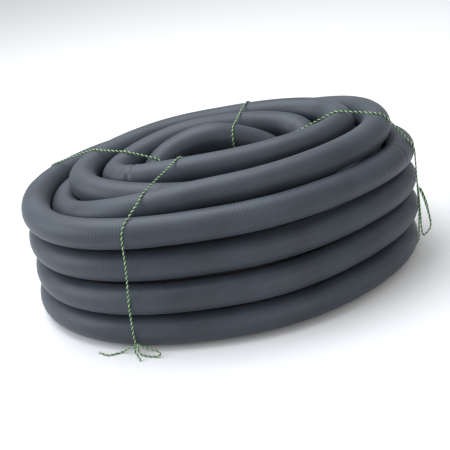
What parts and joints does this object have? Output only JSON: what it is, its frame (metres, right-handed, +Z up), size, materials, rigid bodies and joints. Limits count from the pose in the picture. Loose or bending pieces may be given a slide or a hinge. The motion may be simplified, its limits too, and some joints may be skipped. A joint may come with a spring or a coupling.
{
  "type": "coiled flexible hose",
  "caption": "Flexible smooth-walled hose wound into an oval coil, bound with twisted twine ties that end in knots, bows and loose tails, with a free end that bends out.",
  "frame": {"origin": "on the ground under the middle of the coil's bounding box", "axes": "+X along the coil's long axis to the right, +Y to the back, +Z up"},
  "size_m": [0.7237, 0.5214, 0.2818],
  "materials": {
    "hose": "satin, slate grey flexible PVC with a faint rib of the reinforcing helix",
    "twine": "twisted green and black twine"
  },
  "bodies": {
    "coil": {"hose": "hose", "tie_front": "twine", "tie_front_knot": "twine", "tie_right": "twine", "tie_right_knot": "twine", "tie_left": "twine", "tie_left_knot": "twine", "tie_back": "twine", "tie_back_knot": "twine"},
    "free_end": {"hose_end": "hose"},
    "front_bow": {"tie_front_bow": "twine"},
    "front_tail_long": {"tie_front_tail_long": "twine"},
    "front_tail_short": {"tie_front_tail_short": "twine"},
    "right_bow": {"tie_right_bow": "twine"},
    "right_tail": {"tie_right_tail": "twine"}
  },
  "joints": [
    {"name": "free_end_bend", "type": "hinge", "parent": "coil", "child": "free_end", "pos_m": [0.34545, 0.0487, 0.0288], "axis": [0, 0, -1], "range_deg": [0, 30]},
    {"name": "front_bow_swing", "type": "hinge", "parent": "coil", "child": "front_bow", "pos_m": [-0.18999, -0.22929, 0.01476], "axis": [0, 0, -1], "range_deg": [0, 8]},
    {"name": "front_tail_long_swing", "type": "hinge", "parent": "coil", "child": "front_tail_long", "pos_m": [-0.18999, -0.22929, 0.01476], "axis": [0, 0, 1], "range_deg": [0, 10]},
    {"name": "front_tail_short_swing", "type": "hinge", "parent": "coil", "child": "front_tail_short", "pos_m": [-0.18999, -0.22929, 0.01476], "axis": [0, 0, 1], "range_deg": [-4, 2]},
    {"name": "right_bow_lift", "type": "hinge", "parent": "coil", "child": "right_bow", "pos_m": [0.3413, -0.05434, 0.12645], "axis": [-0.309, -0.9511, 0], "range_deg": [0, 60]},
    {"name": "right_tail_lift", "type": "hinge", "parent": "coil", "child": "right_tail", "pos_m": [0.3413, -0.05434, 0.12645], "axis": [-0.309, -0.9511, 0], "range_deg": [0, 60]}
  ]
}
